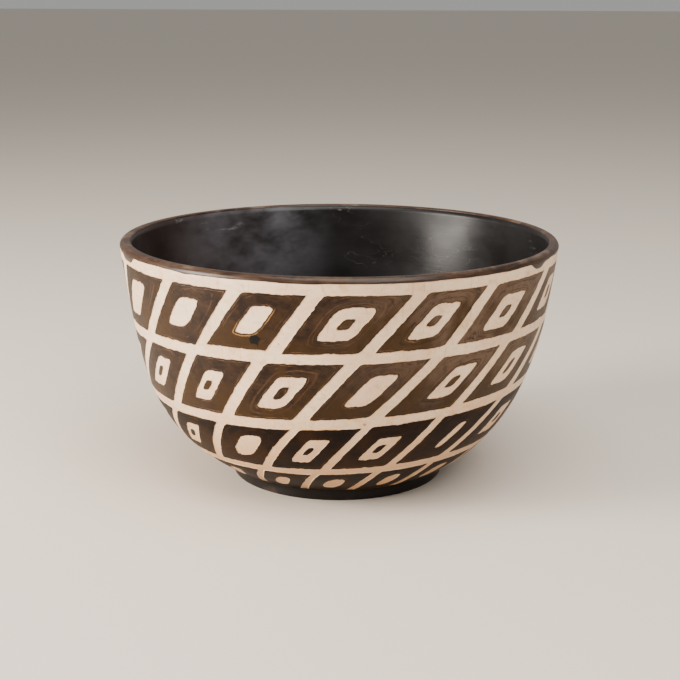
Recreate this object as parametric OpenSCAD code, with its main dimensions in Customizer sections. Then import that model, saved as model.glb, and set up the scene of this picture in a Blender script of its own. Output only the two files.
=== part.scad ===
// Carved wooden bowl with a painted lozenge pattern.
// One block of wood is the bowl, its lip and its foot. Everything else is a thin coat of
// finish lying on that wood: the black inside, the brown lip, the black foot, the pale
// ground and the brown lozenge frames with their centre dots.
// +Z is up, the origin is the middle of the standing face, and the front looks along -Y.

/* [Bowl] */
// Outside diameter of the wood at the rim
rim_d = 280; // [235:1:336]
// Height of the wood from the standing face to the top of the lip
bowl_h = 155.5; // [129:0.5:187]
// Diameter of the foot
foot_d = 138; // [115:1:165]
// Height of the straight side of the foot
foot_h = 7; // [5.5:0.5:9]
// Thickness of the wooden wall
wall = 7; // [5.5:0.5:10]
// Thickness of the floor above the standing face
floor_t = 13; // [10:0.5:18]

/* [Lip and foot] */
// Rounding of the lip's outer edge
lip_r = 3; // [2:0.25:3.5]
// Rounding of the lip's inner edge
inner_lip_r = 0.8; // [0.5:0.1:1.2]
// Rounding of the foot's lower edge
foot_edge_r = 1.2; // [0.8:0.1:2]
// Width of the ring that the foot stands on
standing_w = 11; // [8:0.5:15]
// Depth of the shallow hollow inside the standing ring
hollow_d = 2; // [1:0.25:3]

/* [Wall curve] */
// Lean of the wall out from upright where it leaves the foot, in degrees
foot_lean = 65; // [60:1:72]
// Lean where the lower curve meets the middle curve, in degrees
belly_lean = 19; // [16:1:30]
// Lean where the middle curve meets the upper curve, in degrees
shoulder_lean = 9.5; // [9:0.5:14]
// Lean at the rim, in degrees
rim_lean = 7.5; // [5:0.5:8]
// How many times larger the upper curve's radius is than the middle curve's
flatness = 5; // [3:0.5:8]

/* [Coats] */
// Thickness of each coat of finish
coat = 0.4; // [0.3:0.05:0.5]
// Depth of the brown rim band below the round of the lip
rim_band_h = 1; // [0.75:0.25:3]
// How far the black of the foot climbs onto the wall
foot_band_h = 1.5; // [1:0.25:2.5]

/* [Pattern] */
// Number of lozenges round the bowl
columns = 16; // [12:1:20]
// Height of the plain pale line above row 1
top_line_h = 5.5; // [4:0.5:8]
// Height of the pale line below row 1, which runs where the shoulder curve starts
line_1_h = 6; // [4:0.5:8]
// Height of the pale line below row 2, which runs where the belly curve starts
line_2_h = 6; // [4:0.5:8]
// Height of the pale line below row 3
line_3_h = 4.5; // [3:0.5:6]
// Share of the space under the belly line that row 3 takes, and row 4 leaves
row_3_share = 0.61; // [0.5:0.01:0.7]

/* [Hidden] */

$fn = 256;
past = 1;                      // how far cutting shapes run past what they cut
margin = 25;                   // how far a strip reaches to each side of the curve it follows
rim_r = rim_d / 2;
foot_r = foot_d / 2;
wood = "#8a6238";
black = "#17130f";
lip_brown = "#5b4433";
cream = "#e6d8c6";
brown = "#4a3524";
dark_brown = "#33241a";

// The wall is three curves that run into each other smoothly. Their leans are given, so
// the lower and middle radii follow from the step between the foot and the lip.
function out(lean) = [cos(lean), -sin(lean)];
rim_point = [rim_r, bowl_h - lip_r * (1 + sin(rim_lean))];
foot_point = [foot_r, foot_h];
step = rim_point - foot_point;
lower_step = out(belly_lean) - out(foot_lean);
upper_step = out(shoulder_lean) - out(belly_lean) + flatness * (out(rim_lean) - out(shoulder_lean));
spread = lower_step[0] * upper_step[1] - lower_step[1] * upper_step[0];
lower_r = (step[0] * upper_step[1] - step[1] * upper_step[0]) / spread;
middle_r = (lower_step[0] * step[1] - lower_step[1] * step[0]) / spread;
upper_r = flatness * middle_r;
upper_c = rim_point - upper_r * out(rim_lean);
middle_c = upper_c + (upper_r - middle_r) * out(shoulder_lean);
lower_c = middle_c + (middle_r - lower_r) * out(belly_lean);
belly_point = lower_c + lower_r * out(belly_lean);
shoulder_point = middle_c + middle_r * out(shoulder_lean);

// Each curve: centre, radius, lean at its lower end, lean at its upper end
curves = [
    [lower_c, lower_r, foot_lean, belly_lean],
    [middle_c, middle_r, belly_lean, shoulder_lean],
    [upper_c, upper_r, shoulder_lean, rim_lean]];
function point_on(c, lean) = c[0] + c[1] * out(lean);

// Lean and radius of the outer wall at a height
function curve_at(z) = z < belly_point[1] ? 0 : z < shoulder_point[1] ? 1 : 2;
function lean_at(z) = let (c = curves[curve_at(z)]) asin((c[0][1] - z) / c[1]);
function radius_at(z) = point_on(curves[curve_at(z)], lean_at(z))[0];

// The outer curves cut down to what lies between two heights
function stretch(z_low, z_top) =
    [for (c = curves)
        let (low = min(c[2], lean_at(z_low)), top = max(c[3], lean_at(z_top)))
        if (low > top) [c[0], c[1], low, top]];

// A chain of curves moved out by a depth, or made a degree longer at both ends
function moved(chain, depth) = [for (c = chain) [c[0], c[1] + depth, c[2], c[3]]];
function longer(chain) =
    [for (i = [0 : len(chain) - 1])
        let (c = chain[i])
        [c[0], c[1], i == 0 ? min(90, c[2] + 1) : c[2], i == len(chain) - 1 ? c[3] - 1 : c[3]]];

// The inside runs parallel to the outside down to the belly, then one curve ends flat on
// the floor
inner_belly = belly_point - wall * out(belly_lean);
inner_r = (inner_belly[1] - floor_t) / (1 - sin(belly_lean));
inner_c = inner_belly - inner_r * out(belly_lean);

// Centres of the two roundings of the lip, and where the inner one leaves the inner wall
lip_c = rim_point - lip_r * out(rim_lean);
inner_lip_reach = upper_r - wall + inner_lip_r;
inner_lip_lean = asin((upper_c[1] - bowl_h + inner_lip_r) / inner_lip_reach);
inner_lip_c = upper_c + inner_lip_reach * out(inner_lip_lean);
inner_edge = inner_lip_c - inner_lip_r * out(inner_lip_lean);
inside = [
    [inner_c, inner_r, 90, belly_lean],
    [middle_c, middle_r - wall, belly_lean, shoulder_lean],
    [upper_c, upper_r - wall, shoulder_lean, inner_lip_lean]];

// Heights of the pattern. Two of its pale lines lie where the wall's curves meet.
ground_top = rim_point[1] - rim_band_h;
ground_low = foot_h + foot_band_h;
band_lean = lean_at(ground_top);
band_start = point_on(curves[2], band_lean);
under_belly = belly_point[1] - line_2_h / 2;
row_3_h = row_3_share * (under_belly - ground_low - line_3_h);
row_top = [ground_top - top_line_h, shoulder_point[1] - line_1_h / 2, under_belly,
    under_belly - row_3_h - line_3_h];
row_low = [shoulder_point[1] + line_1_h / 2, belly_point[1] + line_2_h / 2, under_belly - row_3_h,
    ground_low];

// Angles round the bowl are in degrees from the front, growing to the right
pitch = 360 / columns;
// Where the first pale bar crosses the top and the bottom of each row
bar_top = [-4, -19, -36.5, -53.5];
bar_low = [-14, -32.5, -48.5, -63];
// Width of the pale bars in each row, measured level
bar_w = [9, 8, 6.5, 5];
// Height and width of the pale eyes in each row, as shares of their lozenge
eye_h = [0.6, 0.6, 0.57, 0.57];
eye_w = [0.42, 0.4, 0.36, 0.3];
// Height and width of the brown dots, as shares of their eye
dot_h = 0.45;
dot_w = 0.4;
// Lozenges whose eye has no dot in rows 1 to 3, counted to the right from the front
plain = [[5, 8, 13, 14, 15], [1, 5, 12], [0, 3, 8, 9, 13]];

// Middle height, middle angle, height and level width of a lozenge
function mid_z(row) = (row_top[row] + row_low[row]) / 2;
function mid_angle(row, k) = (bar_top[row] + bar_low[row]) / 2 + pitch * (k + 0.5);
function cell_h(row) = row_top[row] - row_low[row];
function cell_w(row) = radius_at(mid_z(row)) * pitch * PI / 180 - bar_w[row];

// How far a bar moves sideways for each unit that it climbs
function bar_slant(row) = radius_at(mid_z(row)) * (bar_top[row] - bar_low[row]) * PI / 180 / cell_h(row);

// Outline of a lozenge on the upright plane that faces its middle: the sides follow the
// bars, the ends follow the pale lines
function corner(row, z, bar, side) =
    let (
        turn = bar - (bar_top[row] + bar_low[row]) / 2 + side * (pitch / 2),
        r = radius_at(z) + coat)
    [r * sin(turn) - side * bar_w[row] / 2, z];
function lozenge(row) = [
    corner(row, row_low[row], bar_low[row], -1),
    corner(row, row_low[row], bar_low[row], 1),
    corner(row, row_top[row], bar_top[row], 1),
    corner(row, row_top[row], bar_top[row], -1)];

// Slanted outline with cut corners round the middle of a lozenge, for its eye and its dot
function slanted(row, w, h) =
    let (cut = min(w, h) / 4, u = w / 2, v = h / 2)
    [for (p = [[-u, cut - v], [cut - u, -v], [u - cut, -v], [u, cut - v],
            [u, v - cut], [u - cut, v], [cut - u, v], [-u, v - cut]])
        [p[0] + p[1] * bar_slant(row), p[1] + mid_z(row)]];
function eye(row) = slanted(row, eye_w[row] * cell_w(row), eye_h[row] * cell_h(row));
function dot(row) =
    slanted(row, dot_w * eye_w[row] * cell_w(row), dot_h * eye_h[row] * cell_h(row));

// Section of everything between the bowl's axis and a chain of curves
module fill(chain) {
    first = point_on(chain[0], chain[0][2]);
    ends = [for (c = chain) point_on(c, c[3])];
    last = ends[len(ends) - 1];
    intersection() {
        translate([0, first[1]]) square([last[0] + past, last[1] - first[1]]);
        union() {
            polygon([[0, first[1]], first, for (p = ends) p, [0, last[1]]]);
            for (c = chain)
                intersection() {
                    translate(c[0]) circle(r = c[1]);
                    polygon([c[0], c[0] + 2 * c[1] * out(c[2]), c[0] + 2 * c[1] * out(c[3])]);
                }
        }
    }
}

// Section of a layer that follows a chain of curves, between two depths
module skin(chain, depth_in, depth_out) {
    end = chain[len(chain) - 1];
    marks = [for (c = chain) [point_on(c, c[2]), c[2]], [point_on(end, end[3]), end[3]]];
    count = len(marks);
    intersection() {
        polygon([
            for (i = [0 : count - 1]) marks[i][0] + margin * out(marks[i][1]),
            for (i = [count - 1 : -1 : 0]) marks[i][0] - margin * out(marks[i][1])]);
        difference() {
            fill(longer(moved(chain, depth_out)));
            fill(longer(moved(chain, depth_in)));
        }
    }
}

// Section of the wood before it is hollowed: the foot, the wall and the rounded lip
module block() {
    fill(curves);
    translate([0, foot_edge_r]) square([foot_r, foot_h - foot_edge_r]);
    square([foot_r - foot_edge_r, foot_h]);
    translate([foot_r - foot_edge_r, foot_edge_r]) circle(r = foot_edge_r);
    polygon([[0, rim_point[1]], rim_point, lip_c, [lip_c[0], bowl_h], [0, bowl_h]]);
    translate(lip_c) circle(r = lip_r);
}

// Section of the hollow, with the rounded inner edge of the lip left standing
module hollow() {
    fill(inside);
    difference() {
        polygon([[0, inner_edge[1]], inner_edge, inner_lip_c,
            [inner_lip_c[0], bowl_h + past], [0, bowl_h + past]]);
        translate(inner_lip_c) circle(r = inner_lip_r);
    }
}

// Section of the lip and the wall just under it, grown by a depth
module lip(grow) {
    core = band_start - wall / 2 * out(band_lean) - [0, margin];
    intersection() {
        translate(upper_c) circle(r = upper_r + grow);
        polygon([core, [rim_r + margin, core[1]], rim_point + margin * out(rim_lean), lip_c]);
    }
    translate(lip_c) circle(r = lip_r + grow);
    translate([inner_lip_c[0], bowl_h - inner_lip_r])
        square([lip_c[0] - inner_lip_c[0], inner_lip_r + grow]);
    translate(inner_lip_c) circle(r = inner_lip_r + grow);
    polygon([core, lip_c, [lip_c[0], bowl_h], [inner_lip_c[0], bowl_h], inner_lip_c]);
}

// The part of a section that the rim band covers, from the outer wall round to the inner
module rim_zone() {
    polygon([
        band_start - wall / 2 * out(band_lean),
        band_start + margin * out(band_lean),
        [rim_r + margin, bowl_h + margin],
        [inner_lip_c[0] - margin, bowl_h + margin],
        inner_edge - margin * out(inner_lip_lean),
        inner_edge + inner_lip_r * out(inner_lip_lean)]);
}

// The wood: foot, wall and lip in one piece, with a shallow hollow under the foot
module carved_bowl() {
    color(wood)
    rotate_extrude()
    difference() {
        block();
        hollow();
        translate([0, -past]) square([foot_r - standing_w, hollow_d + past]);
    }
}

// Black coat on the floor and the inner wall, up to the inner edge of the lip
module black_lining() {
    color(black)
    rotate_extrude()
    difference() {
        fill(longer(inside));
        fill(longer(moved(inside, -coat)));
        rim_zone();
    }
}

// Brown coat over the lip and down the first of the outer wall
module rim_band() {
    color(lip_brown)
    rotate_extrude()
    intersection() {
        rim_zone();
        difference() {
            lip(coat);
            lip(0);
        }
    }
}

// Black coat round the side of the foot and onto the start of the wall
module foot_band() {
    color(black)
    rotate_extrude() {
        translate([foot_r, foot_edge_r]) square([coat, foot_h - foot_edge_r]);
        intersection() {
            difference() {
                translate(lower_c) circle(r = lower_r + coat);
                translate(lower_c) circle(r = lower_r);
            }
            polygon([lower_c, lower_c + 2 * lower_r * out(foot_lean),
                lower_c + 2 * lower_r * out(lean_at(ground_low))]);
        }
    }
}

// Pale coat on the outer wall, which shows as bars, lines and eyes
module white_ground() {
    color(cream)
    rotate_extrude() skin(stretch(ground_low, ground_top), 0, coat);
}

// What an outline on an upright plane cuts from the layer that lies over the pale coat
module painted() {
    intersection() {
        rotate_extrude() skin(stretch(ground_low, ground_top), coat, 2 * coat);
        translate([0, -inner_c[0], 0])
            rotate([90, 0, 0])
            linear_extrude(height = rim_r)
            children();
    }
}

// One row of lozenge frames, each with the pale eye left open
module frames(row) {
    for (k = [0 : columns - 1])
        rotate([0, 0, mid_angle(row, k)])
            painted()
            difference() {
                polygon(lozenge(row));
                polygon(eye(row));
            }
}

// The brown dots in the eyes of one row
module dots(row) {
    for (k = [0 : columns - 1])
        if (len(search(k, plain[row])) == 0)
            rotate([0, 0, mid_angle(row, k)])
                painted()
                polygon(dot(row));
}

module row_1_frames() { color(brown) frames(0); }
module row_2_frames() { color(brown) frames(1); }
module row_3_frames() { color(dark_brown) frames(2); }
module row_4_frames() { color(dark_brown) frames(3); }
module row_1_dots() { color(brown) dots(0); }
module row_2_dots() { color(brown) dots(1); }
module row_3_dots() { color(dark_brown) dots(2); }

carved_bowl();
black_lining();
rim_band();
foot_band();
white_ground();
row_1_frames();
row_2_frames();
row_3_frames();
row_4_frames();
row_1_dots();
row_2_dots();
row_3_dots();
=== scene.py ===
import math

import bmesh
import bpy
import numpy as np
from mathutils import Matrix, Vector


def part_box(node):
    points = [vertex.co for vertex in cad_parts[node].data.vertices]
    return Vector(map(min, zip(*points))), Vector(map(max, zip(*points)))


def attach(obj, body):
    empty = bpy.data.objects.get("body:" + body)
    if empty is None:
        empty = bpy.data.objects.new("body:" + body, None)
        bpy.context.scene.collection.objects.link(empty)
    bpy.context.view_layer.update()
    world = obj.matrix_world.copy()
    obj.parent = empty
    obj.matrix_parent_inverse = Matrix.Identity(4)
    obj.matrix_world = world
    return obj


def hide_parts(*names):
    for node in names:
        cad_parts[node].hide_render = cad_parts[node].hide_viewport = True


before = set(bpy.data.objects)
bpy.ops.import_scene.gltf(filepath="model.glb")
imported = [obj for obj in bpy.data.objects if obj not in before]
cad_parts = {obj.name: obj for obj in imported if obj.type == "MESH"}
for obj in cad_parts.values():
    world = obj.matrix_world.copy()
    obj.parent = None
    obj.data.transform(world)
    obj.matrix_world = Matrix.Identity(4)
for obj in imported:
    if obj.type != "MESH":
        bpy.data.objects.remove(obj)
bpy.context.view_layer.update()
print("frame loaded")

mm = 0.001


# small helpers for wiring nodes and making meshes

def addNode(tree, kind, inputs=None, **settings):
    node = tree.nodes.new(kind)
    for name, value in settings.items():
        setattr(node, name, value)
    for key, value in (inputs or {}).items():
        if isinstance(value, bpy.types.NodeSocket):
            tree.links.new(value, node.inputs[key])
        else:
            node.inputs[key].default_value = value
    return node


def calc(tree, operation, first, second=0.0, third=0.0, clamp=False):
    node = addNode(tree, "ShaderNodeMath", {0: first, 1: second, 2: third}, operation=operation, use_clamp=clamp)
    return node.outputs[0]


def times(tree, *values):
    return calc(tree, "MULTIPLY", *values)


def plus(tree, *values):
    return calc(tree, "ADD", *values)


def minus(tree, *values):
    return calc(tree, "SUBTRACT", *values)


def blendNumber(tree, share, first, second):
    node = addNode(tree, "ShaderNodeMix", {0: share, 2: first, 3: second}, data_type="FLOAT")
    return node.outputs[0]


def blendColour(tree, share, first, second, mode="MIX"):
    node = addNode(tree, "ShaderNodeMix", {0: share, 6: first, 7: second}, data_type="RGBA", blend_type=mode)
    return node.outputs[2]


def spread(tree, value, low, high, toLow=0.0, toHigh=1.0):
    inputs = {"Value": value, "From Min": low, "From Max": high, "To Min": toLow, "To Max": toHigh}
    return addNode(tree, "ShaderNodeMapRange", inputs, interpolation_type="SMOOTHSTEP").outputs[0]


def joinXYZ(tree, x, y, z):
    return addNode(tree, "ShaderNodeCombineXYZ", {0: x, 1: y, 2: z}).outputs[0]


def splitXYZ(tree, vector):
    return addNode(tree, "ShaderNodeSeparateXYZ", {0: vector}).outputs


def noiseAt(tree, vector, scale, detail=2.0, rough=0.5):
    inputs = {"Vector": vector, "Scale": scale, "Detail": detail, "Roughness": rough}
    return addNode(tree, "ShaderNodeTexNoise", inputs).outputs[0]


def newTree(name, kind, inputs, outputs):
    tree = bpy.data.node_groups.new(name, kind)
    for label, socketType, start in inputs:
        socket = tree.interface.new_socket(label, in_out="INPUT", socket_type="NodeSocket" + socketType)
        if start is not None:
            socket.default_value = start
    for label, socketType in outputs:
        tree.interface.new_socket(label, in_out="OUTPUT", socket_type="NodeSocket" + socketType)
    return tree, tree.nodes.new("NodeGroupInput").outputs, tree.nodes.new("NodeGroupOutput").inputs


def giveTree(obj, tree, values):
    modifier = obj.modifiers.new(tree.name, "NODES")
    modifier.node_group = tree
    for item in tree.interface.items_tree:
        if item.item_type == "SOCKET" and item.in_out == "INPUT" and item.name in values:
            modifier[item.identifier] = values[item.name]


def newObject(name, points, edges=(), faces=()):
    mesh = bpy.data.meshes.new(name)
    mesh.from_pydata([tuple(p) for p in points], edges, faces)
    obj = bpy.data.objects.new(name, mesh)
    bpy.context.scene.collection.objects.link(obj)
    return obj


def settle(obj, scratch=()):
    # the evaluated object becomes a plain mesh, faces outwards, no modifiers left
    graph = bpy.context.evaluated_depsgraph_get()
    mesh = bpy.data.meshes.new_from_object(obj.evaluated_get(graph), preserve_all_data_layers=True, depsgraph=graph)
    obj.modifiers.clear()
    obj.data = mesh
    mesh.name = obj.name
    work = bmesh.new()
    work.from_mesh(mesh)
    bmesh.ops.dissolve_degenerate(work, dist=1e-7, edges=work.edges)
    bmesh.ops.recalc_face_normals(work, faces=work.faces)
    if work.calc_volume(signed=True) < 0:
        bmesh.ops.reverse_faces(work, faces=work.faces)
    work.to_mesh(mesh)
    work.free()
    for name in scratch:
        if name in mesh.attributes:
            mesh.attributes.remove(mesh.attributes[name])
    for polygon in mesh.polygons:
        polygon.use_smooth = True
    return obj


# the wall: three arcs between the foot and the lip, as (radius, height) pairs

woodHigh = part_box("carved_bowl")[1]
bowlShape = {
    "footRadius": 69 * mm,
    "footHeight": 7 * mm,
    "footEdge": 1.2 * mm,
    "ringWidth": 11 * mm,
    "hollow": 2 * mm,
    "thickness": 7 * mm,
    "floor": 13 * mm,
    "leans": (65, 19, 9.5, 7.5),  # at the foot, belly, shoulder and rim, in degrees
    "flatness": 5,
    "lipRound": 3 * mm,
    "innerLipRound": 0.8 * mm,
}
rimRadius, rimHeight = woodHigh.x, woodHigh.z


def outward(lean):
    return np.array([math.cos(math.radians(lean)), -math.sin(math.radians(lean))])


def crossOf(first, second):
    return first[0] * second[1] - first[1] * second[0]


footLean, bellyLean, shoulderLean, rimLean = bowlShape["leans"]
rimPoint = np.array([rimRadius, rimHeight - bowlShape["lipRound"] * (1 + math.sin(math.radians(rimLean)))])
footPoint = np.array([bowlShape["footRadius"], bowlShape["footHeight"]])
lowerStep = outward(bellyLean) - outward(footLean)
upperStep = outward(shoulderLean) - outward(bellyLean) + bowlShape["flatness"] * (outward(rimLean) - outward(shoulderLean))
lowerR = crossOf(rimPoint - footPoint, upperStep) / crossOf(lowerStep, upperStep)
middleR = crossOf(lowerStep, rimPoint - footPoint) / crossOf(lowerStep, upperStep)
upperR = bowlShape["flatness"] * middleR
upperC = rimPoint - upperR * outward(rimLean)
middleC = upperC + (upperR - middleR) * outward(shoulderLean)
lowerC = middleC + (middleR - lowerR) * outward(bellyLean)
bellyPoint = lowerC + lowerR * outward(bellyLean)
shoulderPoint = upperC + upperR * outward(shoulderLean)


def leanAt(height):
    if height <= bellyPoint[1]:
        centre, radius = lowerC, lowerR
    elif height <= shoulderPoint[1]:
        centre, radius = middleC, middleR
    else:
        centre, radius = upperC, upperR
    return math.degrees(math.asin((centre[1] - height) / radius)), centre, radius


def wallPoint(height, lift=0.0):
    lean, centre, radius = leanAt(height)
    return centre + (radius + lift) * outward(lean)


def wallLine(low, high, steps, lift=0.0):
    return [wallPoint(low + (high - low) * i / steps, lift) for i in range(steps + 1)]


def arcLine(centre, radius, start, end, steps):
    # angles in degrees from straight out, turning up
    turns = [math.radians(start + (end - start) * i / steps) for i in range(steps + 1)]
    return [np.array([centre[0] + radius * math.cos(t), centre[1] + radius * math.sin(t)]) for t in turns]


lipC = rimPoint - bowlShape["lipRound"] * outward(rimLean)
innerBelly = bellyPoint - bowlShape["thickness"] * outward(bellyLean)
innerR = (innerBelly[1] - bowlShape["floor"]) / (1 - math.sin(math.radians(bellyLean)))
innerC = innerBelly - innerR * outward(bellyLean)
innerReach = upperR - bowlShape["thickness"] + bowlShape["innerLipRound"]
innerLipLean = math.degrees(math.asin((upperC[1] - rimHeight + bowlShape["innerLipRound"]) / innerReach))
innerLipC = upperC + innerReach * outward(innerLipLean)


def insideLine(lift=0.0):
    # from the lip's inner edge down the inside to the axis, moved in by lift
    thick = bowlShape["thickness"] + lift
    line = arcLine(upperC, upperR - thick, -innerLipLean, -shoulderLean, 14)
    line += arcLine(middleC, middleR - thick, -shoulderLean, -bellyLean, 12)[1:]
    line += arcLine(innerC, innerR - lift, -bellyLean, -90, 34)[1:]
    floorZ = bowlShape["floor"] + lift
    line += [np.array([innerC[0] * s, floorZ]) for s in (0.8, 0.6, 0.4, 0.2, 0.08, 0)]
    return line


def lipLine(lift=0.0, start=-rimLean):
    # from the outer wall, over the lip, to the inner edge
    line = arcLine(lipC, bowlShape["lipRound"] + lift, start, 90, 12)
    line += arcLine(innerLipC, bowlShape["innerLipRound"] + lift, 90, 180 - innerLipLean, 8)
    return line


print("wall arcs", round(lowerR / mm, 1), round(middleR / mm, 1), round(upperR / mm, 1))


# Geometry Nodes: a turned shape from a list of profile points

def makeTurnedTree():
    tree, given, put = newTree(
        "turnedShape",
        "GeometryNodeTree",
        [
            ("Geometry", "Geometry", None),
            ("Segments", "Int", 512),
            ("Profile Points", "Int", 2),
            ("Edge Wave", "Float", 0.0),
            ("Wave Scale", "Float", 6.0),
            ("Drip", "Float", 0.0),
            ("Calm Front", "Float", 0.4),
            ("Seed", "Float", 1.0),
            ("Material", "Material", None),
        ],
        [("Geometry", "Geometry")],
    )
    across = plus(tree, given["Segments"], 1)
    size = {
        "Size X": given["Segments"],
        "Size Y": minus(tree, given["Profile Points"], 1),
        "Vertices X": across,
        "Vertices Y": given["Profile Points"],
    }
    grid = addNode(tree, "GeometryNodeMeshGrid", size)
    spot = splitXYZ(tree, addNode(tree, "GeometryNodeInputPosition").outputs[0])
    column = plus(tree, spot[0], times(tree, given["Segments"], 0.5))
    row = calc(tree, "ROUND", plus(tree, spot[1], times(tree, size["Size Y"], 0.5)))
    turn = times(tree, calc(tree, "DIVIDE", column, given["Segments"]), 2 * math.pi)

    def fromProfile(socket, dataType):
        return addNode(tree, "GeometryNodeSampleIndex",
            {"Geometry": given["Geometry"], "Value": socket, "Index": row}, data_type=dataType).outputs[0]

    place = splitXYZ(tree, fromProfile(addNode(tree, "GeometryNodeInputPosition").outputs[0], "FLOAT_VECTOR"))
    waveName = addNode(tree, "GeometryNodeInputNamedAttribute", {"Name": "wave"}, data_type="FLOAT_VECTOR")
    wave = splitXYZ(tree, fromProfile(waveName.outputs[0], "FLOAT_VECTOR"))
    # the wavy edge: a slow wave, plus drips that only reach downwards
    around = joinXYZ(tree, calc(tree, "SINE", turn), calc(tree, "COSINE", turn), given["Seed"])
    slow = minus(tree, noiseAt(tree, around, given["Wave Scale"], 3.0, 0.55), 0.5)
    drips = spread(tree, noiseAt(tree, around, times(tree, given["Wave Scale"], 0.8), 1.0), 0.56, 0.72)
    atSides = spread(tree, calc(tree, "ABSOLUTE", calc(tree, "SINE", turn)), given["Calm Front"],
        plus(tree, given["Calm Front"], 0.2))
    drips = times(tree, drips, atSides)
    reach = plus(tree, times(tree, slow, given["Edge Wave"]), times(tree, drips, given["Drip"]))
    along = times(tree, reach, wave[0])
    radius = plus(tree, place[0], times(tree, along, wave[1]))
    height = plus(tree, place[2], times(tree, along, wave[2]))
    where = joinXYZ(tree, times(tree, radius, calc(tree, "SINE", turn)),
        times(tree, radius, times(tree, calc(tree, "COSINE", turn), -1)), height)
    # row and place are read before the points move
    moved = addNode(tree, "GeometryNodeSetPosition", {"Geometry": grid.outputs[0], "Position": where})
    merged = addNode(tree, "GeometryNodeMergeByDistance", {"Geometry": moved.outputs[0], "Distance": 1e-6})
    real = addNode(tree, "GeometryNodeRealizeInstances", {"Geometry": merged.outputs[0]})
    coated = addNode(tree, "GeometryNodeSetMaterial", {"Geometry": real.outputs[0], "Material": given["Material"]})
    tree.links.new(coated.outputs[0], put[0])
    return tree


turnedTree = makeTurnedTree()


def turnedPiece(name, profile, values, waves=None):
    # profile holds (radius, height); waves says which points follow the wavy edge, and which way
    obj = newObject(name, [(p[0], 0, p[1]) for p in profile], [(i, i + 1) for i in range(len(profile) - 1)])
    layer = obj.data.attributes.new("wave", "FLOAT_VECTOR", "POINT")
    for i, data in enumerate(layer.data):
        data.vector = waves[i] if waves else (0, 0, 0)
    giveTree(obj, turnedTree, {"Profile Points": len(profile), **values})
    return obj


# Geometry Nodes: a point of the pattern, from its turn, height and lift, to its place on the wall

def makeWallTree():
    tree, given, put = newTree(
        "onTheWall",
        "GeometryNodeTree",
        [
            ("Turn", "Float", 0.0),
            ("Height", "Float", 0.1),
            ("Lift", "Float", 0.0),
            ("Lower Arc", "Vector", (lowerC[0], lowerC[1], lowerR)),
            ("Middle Arc", "Vector", (middleC[0], middleC[1], middleR)),
            ("Upper Arc", "Vector", (upperC[0], upperC[1], upperR)),
            ("Belly Height", "Float", bellyPoint[1]),
            ("Shoulder Height", "Float", shoulderPoint[1]),
        ],
        [("Position", "Vector"), ("Radius", "Float")],
    )
    overBelly = calc(tree, "GREATER_THAN", given["Height"], given["Belly Height"])
    overShoulder = calc(tree, "GREATER_THAN", given["Height"], given["Shoulder Height"])
    first = addNode(tree, "GeometryNodeSwitch",
        {"Switch": overBelly, "False": given["Lower Arc"], "True": given["Middle Arc"]}, input_type="VECTOR")
    arc = addNode(tree, "GeometryNodeSwitch",
        {"Switch": overShoulder, "False": first.outputs[0], "True": given["Upper Arc"]}, input_type="VECTOR")
    centreR, centreZ, bend = splitXYZ(tree, arc.outputs[0])
    lean = calc(tree, "ARCSINE", calc(tree, "DIVIDE", minus(tree, centreZ, given["Height"]), bend))
    reach = plus(tree, bend, given["Lift"])
    radius = plus(tree, centreR, times(tree, reach, calc(tree, "COSINE", lean)))
    height = minus(tree, centreZ, times(tree, reach, calc(tree, "SINE", lean)))
    x = times(tree, radius, calc(tree, "SINE", given["Turn"]))
    y = times(tree, times(tree, radius, calc(tree, "COSINE", given["Turn"])), -1)
    tree.links.new(joinXYZ(tree, x, y, height), put[0])
    tree.links.new(radius, put[1])
    return tree


wallTree = makeWallTree()


def outlineReach(tree, turn, sharpness):
    # how far a rounded square reaches from its middle in each direction
    wide = calc(tree, "POWER", calc(tree, "ABSOLUTE", calc(tree, "COSINE", turn)), sharpness)
    tall = calc(tree, "POWER", calc(tree, "ABSOLUTE", calc(tree, "SINE", turn)), sharpness)
    return calc(tree, "POWER", plus(tree, wide, tall), calc(tree, "DIVIDE", -1.0, sharpness))


# Geometry Nodes: one row of lozenges, or of the dots in their eyes

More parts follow.
